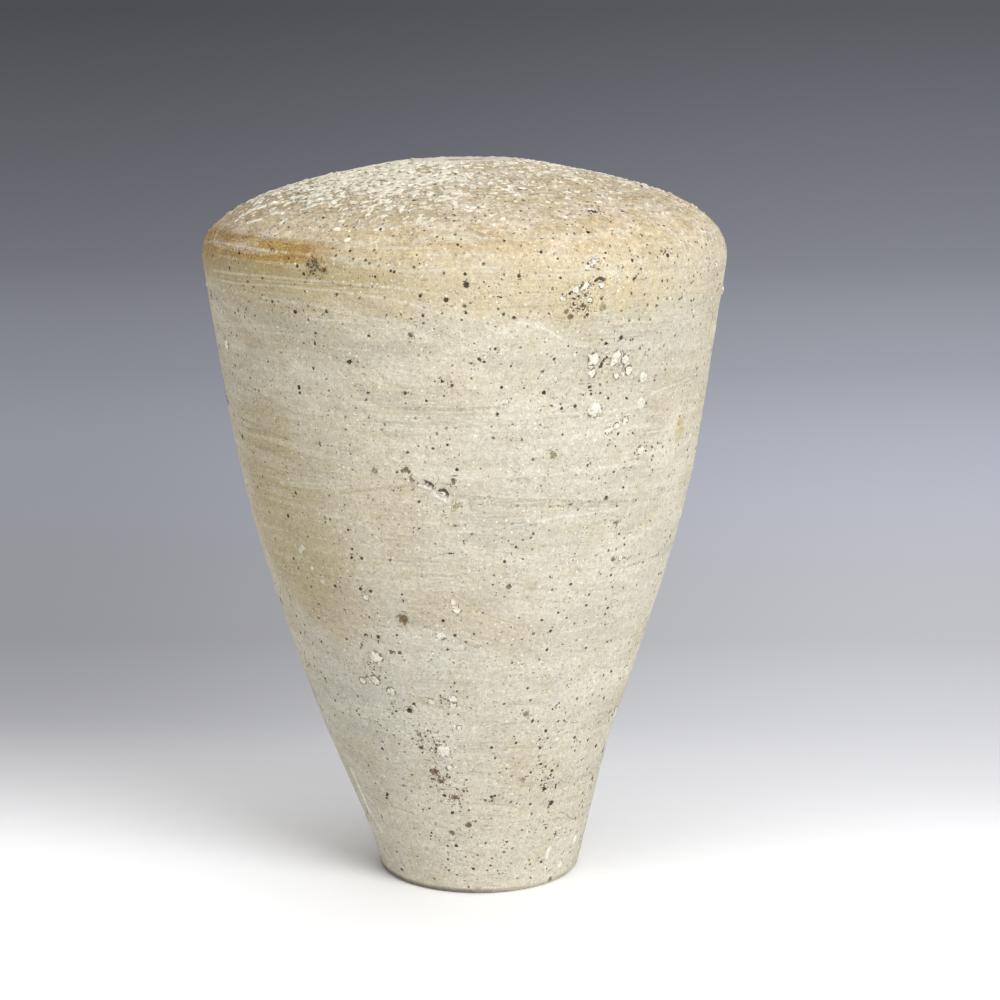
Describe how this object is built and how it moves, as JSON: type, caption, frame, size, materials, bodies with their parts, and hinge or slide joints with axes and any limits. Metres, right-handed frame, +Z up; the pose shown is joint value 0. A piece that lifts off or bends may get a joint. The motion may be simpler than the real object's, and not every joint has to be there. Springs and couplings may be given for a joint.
{
  "type": "mercury storage jar",
  "caption": "Thick-walled stoneware storage jar with a narrow flat foot, tapering wall, domed shoulder and small mouth, closed by a wooden plug that lifts out with its ring of putty.",
  "frame": {"origin": "middle of the foot's flat underside, on the surface that the jar stands on", "axes": "+Z up along the jar; in the front view +X is to the right and +Y points away from the viewer"},
  "size_m": [0.1748, 0.1748, 0.2452],
  "materials": {
    "stoneware": "matt unglazed grey-buff stoneware with iron specks",
    "ash_stoneware": "matt stoneware under a speckled whitish ash deposit",
    "plug_wood": "dry end grain",
    "lime_putty": "hard chalky lime putty"
  },
  "bodies": {
    "jar": {"lower_body": "stoneware", "upper_body": "stoneware", "shoulder_dome": "ash_stoneware", "mouth_ring": "ash_stoneware"},
    "plug": {"mouth_plug": "plug_wood", "plug_putty": "lime_putty"}
  },
  "joints": [
    {"name": "plug_lift", "type": "slide", "parent": "jar", "child": "plug", "axis": [0, 0, 1], "range_m": [0, 0.06]}
  ]
}
